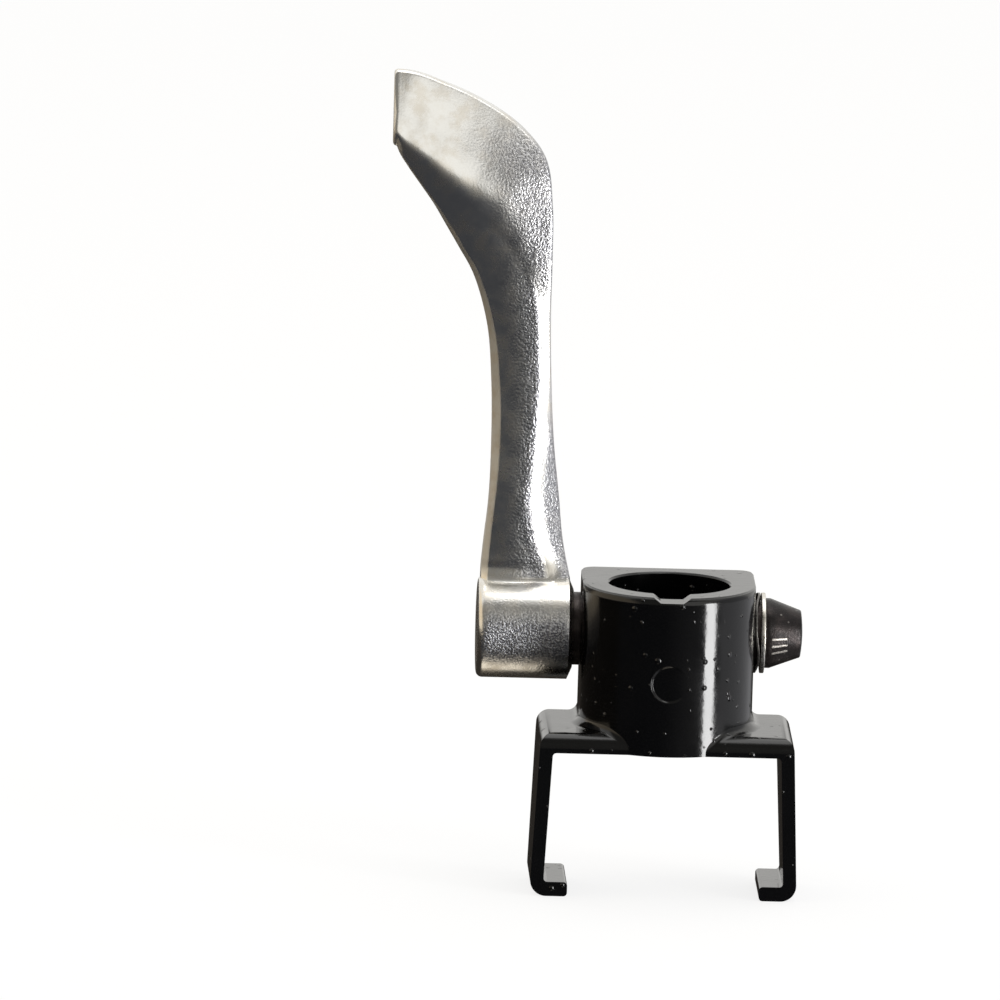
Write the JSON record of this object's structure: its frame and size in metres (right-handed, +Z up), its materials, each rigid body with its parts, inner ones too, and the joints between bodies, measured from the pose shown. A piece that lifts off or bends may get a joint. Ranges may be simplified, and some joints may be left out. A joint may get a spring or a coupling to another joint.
{
  "type": "cam lever",
  "caption": "Quick-release cam lever: a swept hand lever turns a cam shaft across a cast housing that clips over a rail and grips a waisted stud in its upright bore.",
  "frame": {"origin": "on the upright bore's axis, in the plane of the bracket's underside", "axes": "+Z up the bore, X along the cam shaft with the hand lever at -X, -Y is the front where the barrel is round"},
  "size_m": [0.0559, 0.0237, 0.1066],
  "materials": {
    "black_paint": "gloss",
    "plated_casting": "polished",
    "blackened_steel": "satin",
    "spring_steel": "satin",
    "bright_steel": "satin"
  },
  "bodies": {
    "housing_body": {"housing": "black_paint", "wave_washer": "spring_steel"},
    "lever_body": {"lever": "plated_casting", "cam_shaft": "blackened_steel", "roll_pin": "spring_steel", "flat_washer": "bright_steel", "end_nut": "blackened_steel"}
  },
  "joints": [
    {"name": "lever_turn", "type": "hinge", "parent": "housing_body", "child": "lever_body", "pos_m": [0, 0.0056, 0.0138], "axis": [1, 0, 0], "range_deg": [0, 90]}
  ]
}
